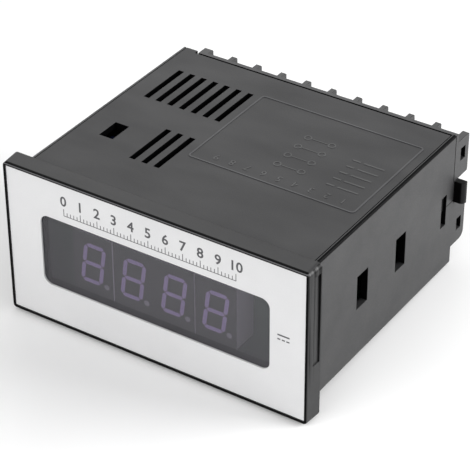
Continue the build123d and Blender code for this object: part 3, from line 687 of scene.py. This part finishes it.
# The camera stands where the photograph was taken from, to the front right and
# above, with a long lens.
CAMERA_SPOT = (0.262855, -0.363555, 0.319748)
SIDE_TURN = math.radians(33.494)
LOOK_DOWN = math.radians(34.257)
LEAN = math.radians(-0.288)
SENSOR_MM = 36.0
LENS_MM = 161.12
camera_data = bpy.data.cameras.new("photo_camera")
camera_data.sensor_width = SENSOR_MM
camera_data.lens = LENS_MM
camera_data.clip_start = 0.01
camera = bpy.data.objects.new("photo_camera", camera_data)
bpy.context.scene.collection.objects.link(camera)
camera.matrix_world = (Matrix.Translation(CAMERA_SPOT)
                       @ Matrix.Rotation(SIDE_TURN, 4, "Z")
                       @ Matrix.Rotation(0.5 * math.pi - LOOK_DOWN, 4, "X")
                       @ Matrix.Rotation(LEAN, 4, "Z"))
bpy.context.scene.camera = camera

# The floor: a plain white table, that the meter touches with the bezel's lower
# edge and the bottom's rear edge, so it leans up to the rear by two degrees. Past
# the meter's shadow it passes into the white surround.
BEZEL_FOOT = -24.0 * MM
REAR_FOOT = -21.3 * MM
FOOT_SPAN = 75.1 * MM
TABLE_GAP = 0.1 * MM
TABLE_HALF = 3.0
SHADOW_REACH = 0.075
WHITE_REACH = 0.21
PAINT = (0.93, 0.93, 0.93)
LIGHTER_PAINT = (0.95, 0.95, 0.95)
WHITE = (1.0, 1.0, 1.0, 1.0)


def shown_rays(tree):
    ray = tree.nodes.new("ShaderNodeLightPath").outputs
    seen = combined(tree, "MAXIMUM", ray["Is Camera Ray"], ray["Is Glossy Ray"])
    return combined(tree, "MAXIMUM", seen, ray["Is Transmission Ray"])


table_mesh = bmesh.new()
bmesh.ops.create_grid(table_mesh, x_segments=8, y_segments=8, size=TABLE_HALF)
table_data = bpy.data.meshes.new("table_top")
table_mesh.to_mesh(table_data)
table_mesh.free()
table_top = bpy.data.objects.new("table_top", table_data)
bpy.context.scene.collection.objects.link(table_top)
table_lean = math.atan2(REAR_FOOT - BEZEL_FOOT, FOOT_SPAN)
table_top.matrix_world = (Matrix.Translation((0.0, 0.0, BEZEL_FOOT - TABLE_GAP))
                          @ Matrix.Rotation(table_lean, 4, "X"))
table_paint, tree, shader = start_finish("table_paint")
tree.links.new(graded(tree, grain_noise(tree, 40.0), PAINT, LIGHTER_PAINT),
               shader.inputs["Base Color"])
shader.inputs["Roughness"].default_value = 0.9
shader.inputs["Specular IOR Level"].default_value = 0.0
place = tree.nodes.new("ShaderNodeTexCoord")
away = tree.nodes.new("ShaderNodeVectorMath")
away.operation = "DISTANCE"
away.inputs[1].default_value = (0.0, 0.5 * FOOT_SPAN, 0.0)
tree.links.new(place.outputs["Object"], away.inputs[0])
fading = tree.nodes.new("ShaderNodeMapRange")
fading.interpolation_type = "SMOOTHSTEP"
fading.inputs["From Min"].default_value = SHADOW_REACH
fading.inputs["From Max"].default_value = WHITE_REACH
tree.links.new(away.outputs["Value"], fading.inputs["Value"])
glow = tree.nodes.new("ShaderNodeEmission")
glow.inputs["Color"].default_value = WHITE
glow.inputs["Strength"].default_value = 1.0
passing = tree.nodes.new("ShaderNodeMixShader")
tree.links.new(combined(tree, "MULTIPLY", fading.outputs["Result"], shown_rays(tree)),
               passing.inputs["Fac"])
tree.links.new(shader.outputs["BSDF"], passing.inputs[1])
tree.links.new(glow.outputs["Emission"], passing.inputs[2])
tree.links.new(passing.outputs["Shader"], tree.nodes["Material Output"].inputs["Surface"])
table_data.materials.append(table_paint)

# The light: an even white surround and three square soft lamps, at the right
# behind the meter, faintly behind on the left, and in front.
SURROUND_LIGHT = 0.65
BACKDROP_LIGHT = 1.0
world = bpy.data.worlds.new("white_surround")
bpy.context.scene.world = world
world.use_nodes = True
tree = world.node_tree
tree.nodes.clear()
choice = tree.nodes.new("ShaderNodeMixShader")
tree.links.new(shown_rays(tree), choice.inputs["Fac"])
for socket, strength in ((choice.inputs[1], SURROUND_LIGHT), (choice.inputs[2], BACKDROP_LIGHT)):
    white_light = tree.nodes.new("ShaderNodeBackground")
    white_light.inputs["Color"].default_value = WHITE
    white_light.inputs["Strength"].default_value = strength
    tree.links.new(white_light.outputs["Background"], socket)
output = tree.nodes.new("ShaderNodeOutputWorld")
tree.links.new(choice.outputs["Shader"], output.inputs["Surface"])


def soft_lamp(name, spot, aim, width, power):
    data = bpy.data.lights.new(name, "AREA")
    data.shape = "SQUARE"
    data.size = width
    data.energy = power
    lamp = bpy.data.objects.new(name, data)
    bpy.context.scene.collection.objects.link(lamp)
    lamp.location = spot
    lamp.rotation_euler = (Vector(aim) - Vector(spot)).to_track_quat("-Z", "Y").to_euler()


soft_lamp("right_lamp", spot=(0.95, 0.60, 0.42), aim=(0.05, 0.03, 0.0), width=0.8, power=19.2)
soft_lamp("rear_lamp", spot=(-0.28, 0.42, 0.36), aim=(0.0, 0.06, 0.0), width=0.35, power=0.38)
soft_lamp("front_lamp", spot=(-0.25, -0.8, 0.55), aim=(0.0, 0.0, 0.0), width=0.6, power=3.4)
bpy.context.scene.view_settings.view_transform = "Standard"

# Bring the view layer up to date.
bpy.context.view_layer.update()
